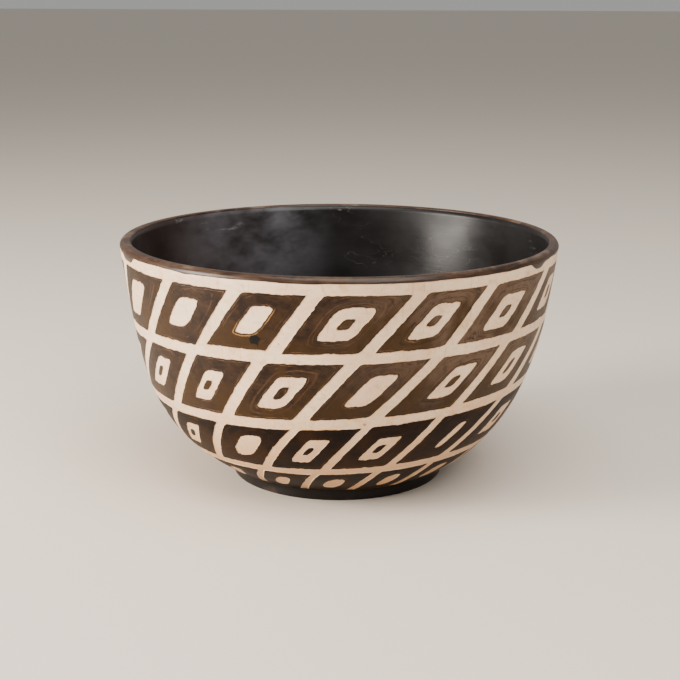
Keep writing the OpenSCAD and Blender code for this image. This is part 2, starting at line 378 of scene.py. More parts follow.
def makeLozengeTree(dots):
    tree, given, put = newTree(
        "lozengeDots" if dots else "lozengeFrames",
        "GeometryNodeTree",
        [
            ("Geometry", "Geometry", None),
            ("Around", "Int", 192),
            ("Across", "Int", 20),
            ("Under", "Float", 0.2 * mm),
            ("Over", "Float", 0.42 * mm),
            ("Corner Sharpness", "Float", 9.0),
            ("Wobble", "Float", 0.03),
            ("Jagged", "Float", 0.01),
            ("Seed", "Float", 1.0),
            ("Material", "Material", None),
        ],
        [("Geometry", "Geometry")],
    )
    if dots:
        shape = addNode(tree, "GeometryNodeMeshUVSphere",
            {"Segments": given["Around"], "Rings": given["Across"], "Radius": 1.0}).outputs[0]
        thin = 1.0
    else:
        thin = 0.25
        rail = addNode(tree, "GeometryNodeCurvePrimitiveCircle", {"Resolution": given["Around"], "Radius": 1.0})
        loop = addNode(tree, "GeometryNodeCurvePrimitiveCircle", {"Resolution": given["Across"], "Radius": thin})
        shape = addNode(tree, "GeometryNodeCurveToMesh",
            {"Curve": rail.outputs[0], "Profile Curve": loop.outputs[0]}).outputs[0]
    at = splitXYZ(tree, addNode(tree, "GeometryNodeInputPosition").outputs[0])
    turn = calc(tree, "ARCTAN2", at[1], at[0])
    far = calc(tree, "SQRT", plus(tree, times(tree, at[0], at[0]), times(tree, at[1], at[1])))
    if dots:
        share = calc(tree, "MINIMUM", far, 1.0)
    else:
        share = calc(tree, "MULTIPLY_ADD", minus(tree, far, 1.0), 0.5 / thin, 0.5, clamp=True)
    lifted = calc(tree, "MULTIPLY_ADD", calc(tree, "DIVIDE", at[2], thin), 1.5, 0.5, clamp=True)
    marked = addNode(tree, "GeometryNodeStoreNamedAttribute",
        {"Geometry": shape, "Name": "spot", "Value": joinXYZ(tree, turn, share, lifted)},
        data_type="FLOAT_VECTOR", domain="POINT")
    copies = addNode(tree, "GeometryNodeInstanceOnPoints", {"Points": given["Geometry"], "Instance": marked.outputs[0]})
    real = addNode(tree, "GeometryNodeRealizeInstances", {"Geometry": copies.outputs[0]})

    def read(name):
        return splitXYZ(tree, addNode(tree, "GeometryNodeInputNamedAttribute", {"Name": name},
            data_type="FLOAT_VECTOR").outputs[0])

    turn, share, lifted = read("spot")
    topSides, lowSides = read("topSides"), read("lowSides")
    topHeights, lowHeights = read("topHeights"), read("lowHeights")
    middle, eye, dot = read("eyeMiddle"), read("eyeSize"), read("dotSize")
    cosTurn, sinTurn = calc(tree, "COSINE", turn), calc(tree, "SINE", turn)
    cell = plus(tree, times(tree, topSides[2], 7.31), given["Seed"])

    def shaken(offset, slowScale, amount):
        # unevenness of a hand-cut outline: slow wobble and a little jaggedness
        ring = joinXYZ(tree, cosTurn, sinTurn, plus(tree, cell, offset))
        slow = minus(tree, noiseAt(tree, ring, slowScale, 1.5), 0.5)
        quick = minus(tree, noiseAt(tree, ring, 14.0, 2.0, 0.6), 0.5)
        both = plus(tree, times(tree, slow, times(tree, given["Wobble"], amount)),
            times(tree, quick, times(tree, given["Jagged"], amount)))
        return plus(tree, both, 1.0)

    if dots:
        reach = times(tree, outlineReach(tree, turn, given["Corner Sharpness"]), shaken(3.0, 1.3, 6.0))
        reach = times(tree, reach, share)
        wide = plus(tree, dot[2], plus(tree, middle[0], times(tree, times(tree, reach, cosTurn), dot[0])))
        tall = plus(tree, middle[1], times(tree, times(tree, reach, sinTurn), dot[1]))
    else:
        eyeReach = times(tree, outlineReach(tree, turn, middle[2]), shaken(1.0, 2.2, 3.4))
        cellReach = times(tree, outlineReach(tree, turn, given["Corner Sharpness"]), shaken(2.0, 3.6, 2.0))
        inX = plus(tree, middle[0], times(tree, times(tree, eyeReach, cosTurn), eye[0]))
        inY = plus(tree, middle[1], times(tree, times(tree, eyeReach, sinTurn), eye[1]))
        wide = blendNumber(tree, share, inX, times(tree, cellReach, cosTurn))
        tall = blendNumber(tree, share, inY, times(tree, cellReach, sinTurn))
    # from the unit lozenge to turn and height between the four corners
    side = calc(tree, "MULTIPLY_ADD", wide, 0.5, 0.5)
    rise = calc(tree, "MULTIPLY_ADD", tall, 0.5, 0.5)

    def between(low, high, share):
        return plus(tree, low, times(tree, minus(tree, high, low), share))

    angle = between(between(lowSides[0], lowSides[1], side), between(topSides[0], topSides[1], side), rise)
    height = between(between(lowHeights[0], lowHeights[1], side), between(topHeights[0], topHeights[1], side), rise)
    lift = blendNumber(tree, lifted, given["Under"], given["Over"])
    place = addNode(tree, "GeometryNodeGroup", node_tree=wallTree)
    tree.links.new(angle, place.inputs["Turn"])
    tree.links.new(height, place.inputs["Height"])
    tree.links.new(lift, place.inputs["Lift"])
    # how far a point is from the nearest edge of its frame, for the paint
    if dots:
        edge = times(tree, minus(tree, 1.0, share), 3.2 * mm)
        fromEye = plus(tree, edge, 0.05)
    else:
        gapX = minus(tree, times(tree, cellReach, cosTurn), inX)
        gapY = minus(tree, times(tree, cellReach, sinTurn), inY)
        halfWide = times(tree, times(tree, minus(tree, topSides[1], topSides[0]), place.outputs["Radius"]), 0.5)
        halfTall = times(tree, minus(tree, topHeights[0], lowHeights[0]), 0.5)
        gapX, gapY = times(tree, gapX, halfWide), times(tree, gapY, halfTall)
        band = calc(tree, "SQRT", plus(tree, times(tree, gapX, gapX), times(tree, gapY, gapY)))
        # the band is crossed at a slant near the corners, so use the nearer of side and top
        sideGap = times(tree, minus(tree, 1.0, calc(tree, "ABSOLUTE", wide)), halfWide)
        topGap = times(tree, minus(tree, 1.0, calc(tree, "ABSOLUTE", tall)), halfTall)
        outer = calc(tree, "MINIMUM", calc(tree, "MAXIMUM", sideGap, 0.0), calc(tree, "MAXIMUM", topGap, 0.0))
        outer = calc(tree, "MINIMUM", outer, times(tree, minus(tree, 1.0, share), band))
        fromEye = times(tree, share, band)
        edge = calc(tree, "MINIMUM", outer, fromEye)
    moved = addNode(tree, "GeometryNodeSetPosition",
        {"Geometry": real.outputs[0], "Position": place.outputs["Position"]}).outputs[0]
    paint = joinXYZ(tree, angle, edge, topSides[2])
    # both attributes are read before the points move, so they are stored first
    stored = addNode(tree, "GeometryNodeStoreNamedAttribute",
        {"Geometry": real.outputs[0], "Name": "paint", "Value": paint}, data_type="FLOAT_VECTOR",
        domain="POINT")
    laid = addNode(tree, "GeometryNodeStoreNamedAttribute",
        {"Geometry": stored.outputs[0], "Name": "lay", "Value": joinXYZ(tree, wide, tall, fromEye)},
        data_type="FLOAT_VECTOR", domain="POINT")
    tree.links.new(laid.outputs[0], moved.node.inputs["Geometry"])
    end = addNode(tree, "GeometryNodeRealizeInstances", {"Geometry": moved})
    coated = addNode(tree, "GeometryNodeSetMaterial", {"Geometry": end.outputs[0], "Material": given["Material"]})
    tree.links.new(coated.outputs[0], put[0])
    return tree


frameTree = makeLozengeTree(False)
dotTree = makeLozengeTree(True)


# Geometry Nodes: the unevenness of hand carving, the same for every piece

def makeCarvedTree():
    tree, given, put = newTree(
        "handCarved",
        "GeometryNodeTree",
        [
            ("Geometry", "Geometry", None),
            ("Depth", "Float", 0.5 * mm),
            ("Scale", "Float", 13.0),
            ("Still Below", "Float", 8 * mm),
            ("Full Above", "Float", 50 * mm),
            ("Lean", "Float", 1.8 * mm),
            ("Foot Lean", "Float", 0.8 * mm),
            ("Straight Above", "Float", 110 * mm),
            ("Thinner Lip", "Float", 1.5 * mm),
            ("Lip Middle", "Float", rimRadius - 3.5 * mm),
        ],
        [("Geometry", "Geometry")],
    )
    place = addNode(tree, "GeometryNodeInputPosition").outputs[0]
    x, y, z = splitXYZ(tree, place)
    grow = spread(tree, z, given["Still Below"], given["Full Above"])
    dent = times(tree, times(tree, noiseAt(tree, place, given["Scale"], 1.0), given["Depth"]), grow)
    flat = addNode(tree, "ShaderNodeVectorMath", {0: joinXYZ(tree, x, y, 0.0)}, operation="NORMALIZE").outputs[0]
    offset = addNode(tree, "ShaderNodeVectorMath", {0: flat, "Scale": times(tree, dent, -1.0)},
        operation="SCALE").outputs[0]
    # the lower wall is fuller on the left than on the right
    belly = times(tree, spread(tree, z, 0.0, 0.03), minus(tree, given["Lean"], given["Foot Lean"]))
    lean = times(tree, plus(tree, belly, given["Foot Lean"]), spread(tree, z, given["Straight Above"], 0.045))
    offset = addNode(tree, "ShaderNodeVectorMath",
        {0: offset, 1: joinXYZ(tree, times(tree, lean, -1.0), 0.0, 0.0)}, operation="ADD").outputs[0]
    # the inside is cut a little nearer to the outside at the front right of the lip
    far = addNode(tree, "ShaderNodeVectorMath", {0: joinXYZ(tree, x, y, 0.0)}, operation="LENGTH").outputs["Value"]
    middle = plus(tree, given["Lip Middle"], times(tree, minus(tree, z, rimPoint[1]), 0.15))
    inner = spread(tree, minus(tree, far, middle), 2.5 * mm, -2.5 * mm)
    facing = calc(tree, "DIVIDE", plus(tree, times(tree, x, 0.45), times(tree, y, -0.89)),
        calc(tree, "MAXIMUM", far, 0.01))
    push = times(tree, times(tree, inner, spread(tree, z, 0.085, 0.145)), calc(tree, "MULTIPLY_ADD", facing, 0.5, 0.5))
    wider = addNode(tree, "ShaderNodeVectorMath", {0: flat, "Scale": times(tree, push, given["Thinner Lip"])},
        operation="SCALE").outputs[0]
    offset = addNode(tree, "ShaderNodeVectorMath", {0: offset, 1: wider}, operation="ADD").outputs[0]
    moved = addNode(tree, "GeometryNodeSetPosition", {"Geometry": given["Geometry"], "Offset": offset})
    tree.links.new(moved.outputs[0], put[0])
    return tree


carvedTree = makeCarvedTree()
carving = {"Depth": 0.5 * mm, "Scale": 13.0, "Lean": 1.8 * mm, "Foot Lean": 0.8 * mm,
    "Straight Above": 110 * mm, "Thinner Lip": 1.6 * mm}
print("geometry node trees built")


# shader node groups shared by the finishes

def makeGrainGroup():
    # long wood fibres along one direction, with a slow tone change
    tree, given, put = newTree(
        "woodFibres",
        "ShaderNodeTree",
        [("Vector", "Vector", None), ("Along", "Float", 6.0), ("Across", "Float", 160.0), ("Figure", "Float", 9.0)],
        [("Tone", "Float"), ("Height", "Float")],
    )
    x, y, z = splitXYZ(tree, given["Vector"])
    warp = times(tree, noiseAt(tree, given["Vector"], given["Figure"], 2.0), 0.03)
    stretched = joinXYZ(tree, times(tree, x, given["Along"]), times(tree, plus(tree, y, warp), given["Across"]),
        times(tree, z, given["Across"]))
    fine = noiseAt(tree, stretched, 1.0, 3.0, 0.6)
    slow = noiseAt(tree, given["Vector"], given["Figure"], 2.0)
    tree.links.new(calc(tree, "MULTIPLY_ADD", fine, 0.6, times(tree, slow, 0.4)), put["Tone"])
    tree.links.new(fine, put["Height"])
    return tree


def makeCrackGroup():
    # thin upright checks in the pale ground, broken into short runs
    tree, given, put = newTree(
        "fineChecks",
        "ShaderNodeTree",
        [("Vector", "Vector", None), ("Scale", "Float", 60.0), ("Stretch", "Float", 0.16),
            ("Width", "Float", 0.012), ("Amount", "Float", 0.5)],
        [("Mask", "Float")],
    )
    x, y, z = splitXYZ(tree, given["Vector"])
    tall = joinXYZ(tree, x, y, times(tree, z, given["Stretch"]))
    ridge = calc(tree, "ABSOLUTE", minus(tree, noiseAt(tree, tall, given["Scale"], 2.0, 0.6), 0.5))
    line = minus(tree, 1.0, spread(tree, ridge, 0.0, given["Width"]))
    where = noiseAt(tree, given["Vector"], times(tree, given["Scale"], 0.7), 2.0)
    runs = spread(tree, where, minus(tree, 0.85, given["Amount"]), minus(tree, 1.0, given["Amount"]))
    tree.links.new(times(tree, line, runs), put["Mask"])
    return tree


def makeStrokeGroup():
    # brush strokes round the bowl, a little uneven
    tree, given, put = newTree(
        "brushStrokes",
        "ShaderNodeTree",
        [("Vector", "Vector", None), ("Stretch", "Float", 0.14), ("Scale", "Float", 420.0), ("Seed", "Float", 0.0)],
        [("Tone", "Float"), ("Height", "Float")],
    )
    x, y, z = splitXYZ(tree, given["Vector"])
    bent = plus(tree, z, times(tree, noiseAt(tree, given["Vector"], 25.0, 1.0), 0.004))
    flat = joinXYZ(tree, times(tree, x, given["Stretch"]), times(tree, y, given["Stretch"]),
        plus(tree, bent, given["Seed"]))
    fine = noiseAt(tree, flat, given["Scale"], 3.0, 0.55)
    broad = noiseAt(tree, given["Vector"], 70.0, 2.0)
    tree.links.new(plus(tree, times(tree, fine, 0.65), times(tree, broad, 0.35)), put["Tone"])
    tree.links.new(fine, put["Height"])
    return tree


def makeDustGroup():
    # hazy patches, for stains and rubbed wear, and for the painted reflection and painted highlight on the polish and
    # the lip
    tree, given, put = newTree(
        "wearStainAndSheenPatches",
        "ShaderNodeTree",
        [("Vector", "Vector", None), ("Scale", "Float", 14.0), ("Low", "Float", 0.5), ("High", "Float", 0.75)],
        [("Mask", "Float")],
    )
    cloud = noiseAt(tree, given["Vector"], given["Scale"], 4.0, 0.62)
    tree.links.new(spread(tree, cloud, given["Low"], given["High"]), put["Mask"])
    return tree


def makeKnotGroup():
    # one ragged spot, such as a small knot or a dark fleck
    tree, given, put = newTree(
        "smallKnot",
        "ShaderNodeTree",
        [("Vector", "Vector", None), ("Centre", "Vector", (0, 0, 0)), ("Size", "Float", 3 * mm),
            ("Ragged", "Float", 3 * mm)],
        [("Mask", "Float")],
    )
    gap = addNode(tree, "ShaderNodeVectorMath", {0: given["Vector"], 1: given["Centre"]},
        operation="DISTANCE").outputs["Value"]
    rough = times(tree, minus(tree, noiseAt(tree, given["Vector"], 330.0, 3.0, 0.6), 0.5), given["Ragged"])
    gap = plus(tree, gap, rough)
    tree.links.new(minus(tree, 1.0, spread(tree, gap, times(tree, given["Size"], 0.7), given["Size"])), put["Mask"])
    return tree


fibres, checks, strokes, haze, knot = makeGrainGroup(), makeCrackGroup(), makeStrokeGroup(), makeDustGroup(), makeKnotGroup()


def onBowl(degrees, height):
    # a place on the outer wall, for single marks
    radius = wallPoint(height)[0]
    turn = math.radians(degrees)
    return (radius * math.sin(turn), -radius * math.cos(turn), height)


def useGroup(tree, group, **values):
    node = tree.nodes.new("ShaderNodeGroup")
    node.node_tree = group
    for name, value in values.items():
        socket = node.inputs[name]
        if isinstance(value, bpy.types.NodeSocket):
            tree.links.new(value, socket)
        else:
            socket.default_value = value
    return node.outputs


def newFinish(name, roughness, coat=0.0, coatRoughness=0.2, specular=0.5):
    material = bpy.data.materials.new(name)
    material.use_nodes = True
    tree = material.node_tree
    shader = tree.nodes["Principled BSDF"]
    shader.inputs["Roughness"].default_value = roughness
    shader.inputs["Coat Weight"].default_value = coat
    shader.inputs["Coat Roughness"].default_value = coatRoughness
    shader.inputs["Specular IOR Level"].default_value = specular
    place = addNode(tree, "ShaderNodeTexCoord").outputs["Object"]
    return material, tree, shader, place


def connectBump(tree, shader, height, distance, strength=0.6):
    bump = addNode(tree, "ShaderNodeBump", {"Height": height, "Distance": distance, "Strength": strength})
    tree.links.new(bump.outputs[0], shader.inputs["Normal"])


def rgb(red, green, blue):
    return (red, green, blue, 1.0)


groundPaint = {
    "cream": rgb(0.87, 0.665, 0.455),
    "pinkish": rgb(0.81, 0.565, 0.375),
    # the colour of the painted shade low on the wall
    "low": rgb(0.50, 0.28, 0.125),
    "stain": rgb(0.58, 0.31, 0.13),
    "check": rgb(0.34, 0.17, 0.07),
    "roughness": 0.40,
    "specks": ((7, 0.0665, 1.1 * mm), (-14.5, 0.1165, 0.7 * mm), (33, 0.146, 0.6 * mm)),  # degrees, height, size
}


def makeGroundFinish():
    material, tree, shader, place = newFinish("paleSatin", groundPaint["roughness"], coat=0.12, coatRoughness=0.3)
    x, y, z = splitXYZ(tree, place)
    slow = noiseAt(tree, place, 38.0, 3.0, 0.6)
    colour = blendColour(tree, spread(tree, slow, 0.38, 0.62), groundPaint["cream"], groundPaint["pinkish"])
    # painted shade: the pale ground turns darker and warmer towards the foot
    paintedShadeShare = minus(tree, 1.0, spread(tree, z, 0.008, 0.095))
    colour = blendColour(tree, paintedShadeShare, colour, groundPaint["low"])
    blotch = useGroup(tree, haze, Vector=place, Scale=90.0, Low=0.55, High=0.80)["Mask"]
    colour = blendColour(tree, times(tree, blotch, 0.75), colour, groundPaint["stain"])
    fleck = useGroup(tree, haze, Vector=place, Scale=520.0, Low=0.66, High=0.76)["Mask"]
    colour = blendColour(tree, times(tree, fleck, 0.5), colour, groundPaint["stain"])
    crack = useGroup(tree, checks, Vector=place, Scale=150.0, Stretch=0.03, Width=0.024, Amount=0.46)["Mask"]
    colour = blendColour(tree, times(tree, crack, 0.28), colour, groundPaint["check"])
    mottle = useGroup(tree, haze, Vector=joinXYZ(tree, x, y, times(tree, z, 2.5)), Scale=170.0, Low=0.42,
        High=0.70)["Mask"]
    colour = blendColour(tree, times(tree, mottle, 0.30), colour, groundPaint["stain"])
    grain = useGroup(tree, strokes, Vector=place, Stretch=0.3, Scale=260.0)
    colour = blendColour(tree, times(tree, grain["Tone"], 0.16), colour, groundPaint["stain"])
    for degrees, height, size in groundPaint["specks"]:
        spot = useGroup(tree, knot, Vector=place, Centre=onBowl(degrees, height), Size=size, Ragged=size)["Mask"]
        colour = blendColour(tree, times(tree, spot, 0.9), colour, groundPaint["check"])
    tree.links.new(colour, shader.inputs["Base Color"])
    tree.links.new(calc(tree, "MULTIPLY_ADD", slow, 0.25, groundPaint["roughness"] - 0.12), shader.inputs["Roughness"])
    height = minus(tree, grain["Height"], times(tree, crack, 1.2))
    connectBump(tree, shader, height, 0.12 * mm, 0.5)
    return material


framePaints = {
    "brownStain": {"dark": rgb(0.0095, 0.0033, 0.0011), "mid": rgb(0.037, 0.0170, 0.0062),
        "ochre": rgb(0.036, 0.0150, 0.0012), "line": rgb(0.17, 0.085, 0.036),
        "paleHighRight": rgb(0.118, 0.071, 0.044), "edge": rgb(0.72, 0.46, 0.25)},
    # rows 3 and 4: a darker stain, made darker still as painted shade on the lower wall
    "darkStainAndShade": {"dark": rgb(0.0034, 0.0011, 0.0004), "mid": rgb(0.014, 0.0050, 0.0013),
        "ochre": rgb(0.024, 0.0086, 0.0011), "line": rgb(0.08, 0.033, 0.008),
        "paleHighRight": rgb(0.030, 0.012, 0.004), "edge": rgb(0.62, 0.36, 0.17)},
}

frameMarks = {
    "scribedCell": 2.0,  # the lozenge of the top row with a golden line round its eye
    "scribe": rgb(0.33, 0.17, 0.05),
    "knotAt": (-20.6, 0.1176),
    "knotSize": 3.6 * mm,
    "knotRagged": 6.0 * mm,
    "knot": rgb(0.0012, 0.0007, 0.0006),
}


def makeFrameFinish(name):
    paint = framePaints[name]
    material, tree, shader, place = newFinish(name, 0.45, coat=0.01, coatRoughness=0.3,
        specular=0.16 if name == "brownStain" else 0.08)
    marks = splitXYZ(tree, addNode(tree, "ShaderNodeAttribute", attribute_name="paint").outputs["Vector"])
    lay = splitXYZ(tree, addNode(tree, "ShaderNodeAttribute", attribute_name="lay").outputs["Vector"])
    brush = useGroup(tree, strokes, Vector=place, Stretch=0.30, Scale=620.0, Seed=marks[2])
    cloudy = noiseAt(tree, place, 130.0, 4.0, 0.65)
    tone = spread(tree, blendNumber(tree, 0.55, brush["Tone"], cloudy), 0.36, 0.68)
    colour = blendColour(tree, tone, paint["dark"], paint["mid"])
    # strokes that follow the outline, with a paler tone high on the right
    follow = joinXYZ(tree, times(tree, lay[2], 700.0), times(tree, marks[1], 260.0),
        plus(tree, marks[2], times(tree, cloudy, 1.5)))
    combed = noiseAt(tree, follow, 1.0, 2.0, 0.6)
    x, y, z = splitXYZ(tree, place)
    thin = times(tree, spread(tree, x, -0.03, 0.08), spread(tree, z, 0.055, 0.110))
    thin = times(tree, thin, spread(tree, plus(tree, combed, times(tree, cloudy, 0.5)), 0.40, 0.82))
    colour = blendColour(tree, thin, colour, paint["paleHighRight"])
    colour = blendColour(tree, times(tree, spread(tree, combed, 0.58, 0.70), 0.30), colour, paint["line"])
    # yellower low in each lozenge and in patches, greyer high up
    patch = spread(tree, plus(tree, noiseAt(tree, place, 55.0, 2.0), times(tree, lay[1], -0.12)), 0.42, 0.66)
    colour = blendColour(tree, times(tree, patch, 0.75), colour, paint["ochre"])
    mottle = useGroup(tree, haze, Vector=place, Scale=300.0, Low=0.5, High=0.75)["Mask"]
    colour = blendColour(tree, times(tree, mottle, 0.45), colour, paint["dark"])
    # a paler line runs a millimetre or so inside the edge, where the tool cut
    ragged = times(tree, minus(tree, noiseAt(tree, place, 260.0, 4.0, 0.65), 0.5), 1.5 * mm)
    edge = plus(tree, marks[1], ragged)
    lineMask = times(tree, spread(tree, edge, 1.3 * mm, 1.6 * mm),
        minus(tree, 1.0, spread(tree, edge, 1.7 * mm, 2.1 * mm)))
    broken = useGroup(tree, haze, Vector=place, Scale=95.0, Low=0.5, High=0.66)["Mask"]
    colour = blendColour(tree, times(tree, times(tree, lineMask, broken), 0.6), colour, paint["line"])
    # the stain pooled dark along the edge, with a thin warm fringe outside it
    pooled = minus(tree, 1.0, spread(tree, edge, 0.6 * mm, 1.5 * mm))
    colour = blendColour(tree, times(tree, pooled, 0.5), colour, paint["dark"])
    warmth = useGroup(tree, haze, Vector=place, Scale=70.0, Low=0.40, High=0.64)["Mask"]
    rawEdge = blendColour(tree, warmth, groundPaint["pinkish"], paint["edge"])
    fringe = minus(tree, 1.0, spread(tree, edge, 0.15 * mm, 0.75 * mm))
    colour = blendColour(tree, fringe, colour, rawEdge)
    # one eye in the top row has a golden scribed outline, others only a trace of one
    scribed = plus(tree, lay[2], times(tree, ragged, 0.7))
    ring = times(tree, spread(tree, scribed, 1.5 * mm, 1.8 * mm),
        minus(tree, 1.0, spread(tree, scribed, 2.0 * mm, 2.4 * mm)))
    chosen = calc(tree, "COMPARE", marks[2], frameMarks["scribedCell"], 0.06)
    trace = calc(tree, "MAXIMUM", chosen,
        times(tree, useGroup(tree, haze, Vector=place, Scale=48.0, Low=0.6, High=0.7)["Mask"], 0.6))
    ring = times(tree, ring, useGroup(tree, haze, Vector=place, Scale=75.0, Low=0.44, High=0.56)["Mask"])
    ring = times(tree, ring, spread(tree, lay[1], 0.55, 0.25))
    colour = blendColour(tree, times(tree, times(tree, ring, trace), 0.8), colour, frameMarks["scribe"])
    knotSpot = useGroup(tree, knot, Vector=place, Centre=onBowl(*frameMarks["knotAt"]),
        Size=frameMarks["knotSize"], Ragged=frameMarks["knotRagged"])["Mask"]
    colour = blendColour(tree, knotSpot, colour, frameMarks["knot"])
    tree.links.new(colour, shader.inputs["Base Color"])
    tree.links.new(calc(tree, "MULTIPLY_ADD", brush["Tone"], 0.3, 0.30), shader.inputs["Roughness"])
    height = minus(tree, brush["Height"], times(tree, lineMask, 0.8))
    connectBump(tree, shader, height, 0.15 * mm, 0.6)
    return material


liningPaint = {
    "black": rgb(0.0045, 0.0035, 0.0032),
    # painted reflection: the colour of a broad bluish light seen in the black polish
    "haze": rgb(0.105, 0.102, 0.115),
    "scuff": rgb(0.26, 0.25, 0.25),
    "tint": rgb(0.050, 0.028, 0.020),
}


def makeLiningFinish():
    material, tree, shader, place = newFinish("blackPolish", 0.3, coat=0.05, coatRoughness=0.3, specular=0.22)
    x, y, z = splitXYZ(tree, place)
    # painted reflection: a pale bluish cloud high on the left of the inside, where a broad light would reflect
    smear = joinXYZ(tree, x, y, times(tree, z, 1.6))
    cloud = useGroup(tree, haze, Vector=smear, Scale=15.0, Low=0.30, High=0.66)["Mask"]
    high = spread(tree, z, 0.06, 0.15)
    left = times(tree, spread(tree, x, 0.0, -0.05, 0.03, 1.0), spread(tree, x, -0.125, -0.085, 0.1, 1.0))
    colour = blendColour(tree, times(tree, times(tree, cloud, left), high), liningPaint["black"], liningPaint["haze"])
    warm = times(tree, noiseAt(tree, place, 11.0, 2.0), spread(tree, x, -0.02, -0.13, 0.0, 0.8))
    colour = blendColour(tree, warm, colour, liningPaint["tint"])
    # pale scuffs from spoons, near the lip
    around = joinXYZ(tree, times(tree, x, 0.25), times(tree, y, 0.25), z)
    scuffs = useGroup(tree, haze, Vector=around, Scale=150.0, Low=0.62, High=0.74)["Mask"]
    patch = useGroup(tree, haze, Vector=place, Scale=17.0, Low=0.44, High=0.60)["Mask"]
    scuffs = times(tree, times(tree, scuffs, patch), spread(tree, z, 0.125, 0.15))
    scuffs = times(tree, scuffs, spread(tree, x, 0.0, -0.03))
    polished = times(tree, spread(tree, x, -0.02, 0.05), noiseAt(tree, place, 30.0, 3.0))
    tree.links.new(times(tree, polished, 0.25), shader.inputs["Coat Weight"])
    scratch = useGroup(tree, checks, Vector=joinXYZ(tree, x, y, times(tree, z, 1.5)), Scale=34.0, Stretch=1.8,
        Width=0.004, Amount=0.35)["Mask"]
    colour = blendColour(tree, times(tree, calc(tree, "MAXIMUM", scuffs, times(tree, scratch, 0.4)), 0.6),
        colour, liningPaint["scuff"])
    tree.links.new(colour, shader.inputs["Base Color"])
    rough = plus(tree, calc(tree, "MULTIPLY_ADD", cloud, 0.20, 0.27), times(tree, scuffs, 0.3))
    tree.links.new(rough, shader.inputs["Roughness"])
    # fine lines from the turning tool
    rings = noiseAt(tree, joinXYZ(tree, times(tree, x, 0.03), times(tree, y, 0.03), z), 900.0, 3.0, 0.6)
    height = plus(tree, times(tree, rings, 0.6), times(tree, noiseAt(tree, place, 60.0, 3.0), 1.2))
    connectBump(tree, shader, height, 0.12 * mm, 0.5)
    return material


rimPaint = {
    "dark": rgb(0.020, 0.010, 0.006),
    "mid": rgb(0.058, 0.029, 0.0145),
    "wornAndPaintedHighlight": rgb(0.17, 0.11, 0.072),
}


def makeRimFinish():
    material, tree, shader, place = newFinish("rimStain", 0.40, coat=0.03, coatRoughness=0.25, specular=0.26)
    z = splitXYZ(tree, place)[2]
    brush = useGroup(tree, strokes, Vector=place, Stretch=0.10, Scale=900.0, Seed=0.7)
    colour = blendColour(tree, spread(tree, brush["Tone"], 0.34, 0.68), rimPaint["dark"], rimPaint["mid"])
    # worn patches, with a painted highlight along the lip's top: the paler colour shows most there
    wornAndPaintedHighlight = useGroup(tree, haze, Vector=place, Scale=48.0, Low=0.5, High=0.72)["Mask"]
    top = spread(tree, z, 0.1545, 0.1557)
    colour = blendColour(tree, times(tree, calc(tree, "MULTIPLY_ADD", top, 0.6, 0.1), wornAndPaintedHighlight), colour, rimPaint["wornAndPaintedHighlight"])
    tree.links.new(colour, shader.inputs["Base Color"])
    tree.links.new(calc(tree, "MULTIPLY_ADD", brush["Tone"], 0.25, 0.22), shader.inputs["Roughness"])
    connectBump(tree, shader, brush["Height"], 0.14 * mm, 0.6)
    return material


footPaint = {"black": rgb(0.004, 0.0022, 0.0014), "rubbed": rgb(0.045, 0.022, 0.010)}


def makeFootFinish():
    material, tree, shader, place = newFinish("footBlack", 0.42, coat=0.04, coatRoughness=0.3, specular=0.22)
    z = splitXYZ(tree, place)[2]
    brush = useGroup(tree, strokes, Vector=place, Stretch=0.12, Scale=360.0, Seed=0.3)
    rubbed = useGroup(tree, haze, Vector=place, Scale=60.0, Low=0.5, High=0.7)["Mask"]
    share = times(tree, rubbed, minus(tree, 1.0, spread(tree, z, 0.0, 0.006)))
    colour = blendColour(tree, times(tree, share, 0.8), footPaint["black"], footPaint["rubbed"])
    tree.links.new(colour, shader.inputs["Base Color"])
    tree.links.new(calc(tree, "MULTIPLY_ADD", brush["Tone"], 0.3, 0.25), shader.inputs["Roughness"])
    connectBump(tree, shader, brush["Height"], 0.15 * mm, 0.6)
    return material


woodPaint = {"dark": rgb(0.26, 0.135, 0.060), "light": rgb(0.50, 0.31, 0.155), "check": rgb(0.07, 0.035, 0.016),
    "roughness": 0.62}


def makeWoodFinish():
    material, tree, shader, place = newFinish("bareWood", woodPaint["roughness"])
    grain = useGroup(tree, fibres, Vector=place, Along=22.0, Across=420.0, Figure=16.0)
    colour = blendColour(tree, spread(tree, grain["Tone"], 0.32, 0.68), woodPaint["dark"], woodPaint["light"])
    crack = useGroup(tree, checks, Vector=place, Scale=40.0, Stretch=1.0, Width=0.008, Amount=0.3)["Mask"]
    colour = blendColour(tree, times(tree, crack, 0.7), colour, woodPaint["check"])
    tree.links.new(colour, shader.inputs["Base Color"])
    tree.links.new(calc(tree, "MULTIPLY_ADD", grain["Height"], 0.25, woodPaint["roughness"] - 0.12),
        shader.inputs["Roughness"])
    connectBump(tree, shader, minus(tree, grain["Height"], crack), 0.2 * mm, 0.7)
    return material


paleSatin = makeGroundFinish()
brownStain, darkStainAndShade = makeFrameFinish("brownStain"), makeFrameFinish("darkStainAndShade")
blackPolish, rimStain, footBlack, bareWood = makeLiningFinish(), makeRimFinish(), makeFootFinish(), makeWoodFinish()
print("finishes mixed")


# the wood

